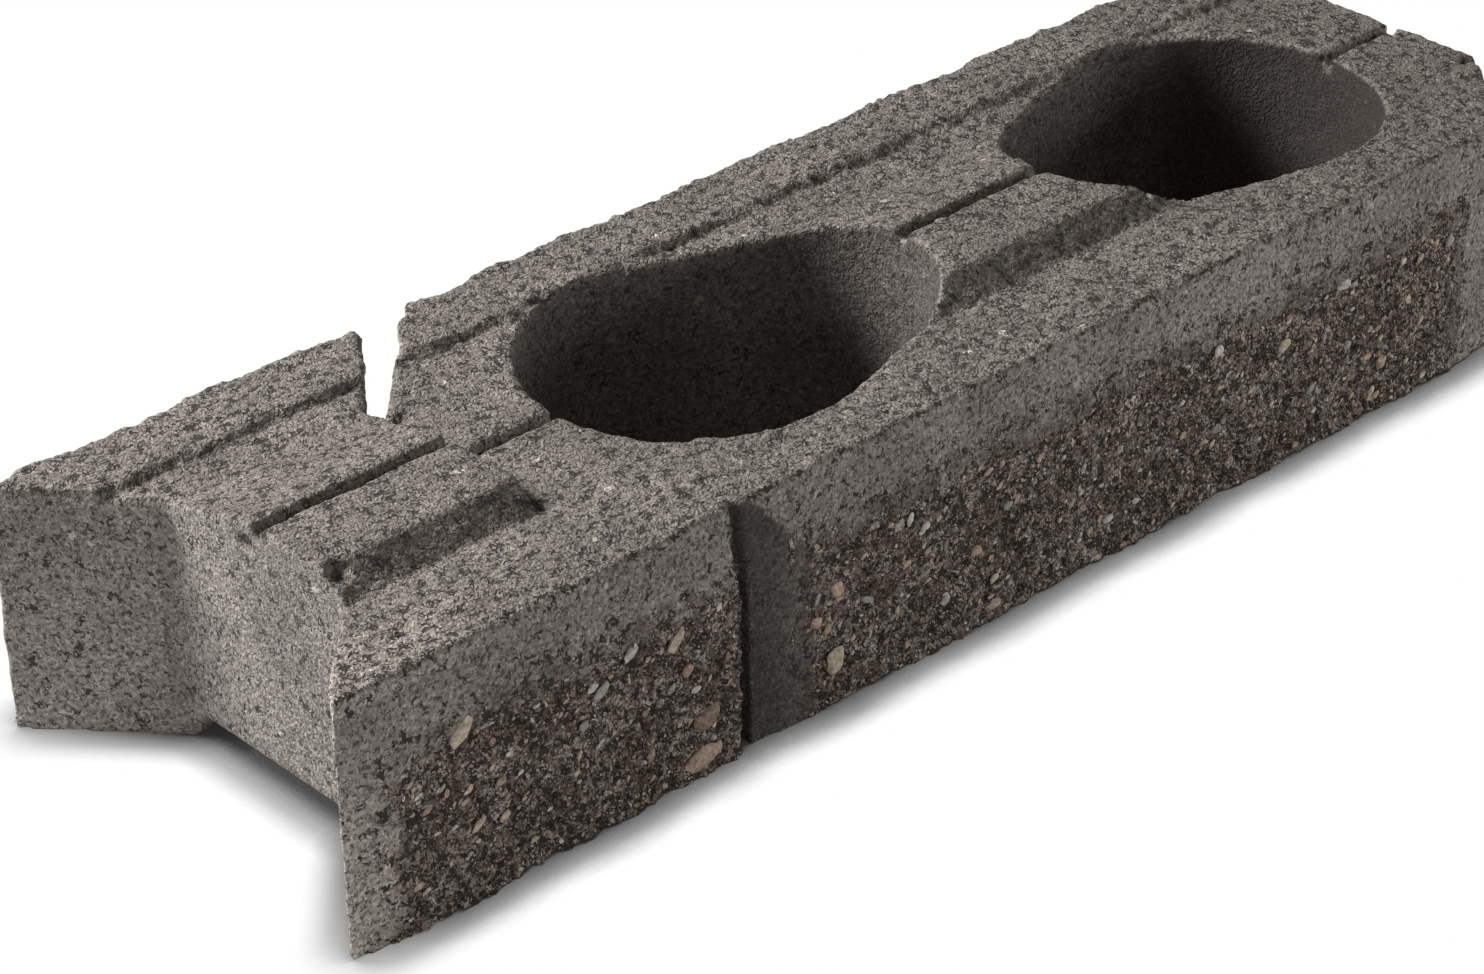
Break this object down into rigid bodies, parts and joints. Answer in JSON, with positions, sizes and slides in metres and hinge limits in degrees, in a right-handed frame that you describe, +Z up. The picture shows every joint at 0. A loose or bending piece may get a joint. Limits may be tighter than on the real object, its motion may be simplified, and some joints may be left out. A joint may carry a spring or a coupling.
{
  "type": "concrete block",
  "caption": "Interlocking split-face wall block with dovetail recess, tapered nose, two through cores, locking lugs on top and a matching channel in its bed.",
  "frame": {"origin": "middle of the bed, at the centre of the block's length and depth", "axes": "+X along the wall from the dovetail recess to the nose, -Y out of the split face, +Z up through the cores"},
  "size_m": [0.642, 0.195, 0.107],
  "materials": {
    "concrete": "dry-cast grey-brown concrete, granular and porous, with a darker split face that shows pale aggregate"
  },
  "bodies": {
    "root": {"wall_block": "concrete"}
  },
  "joints": []
}
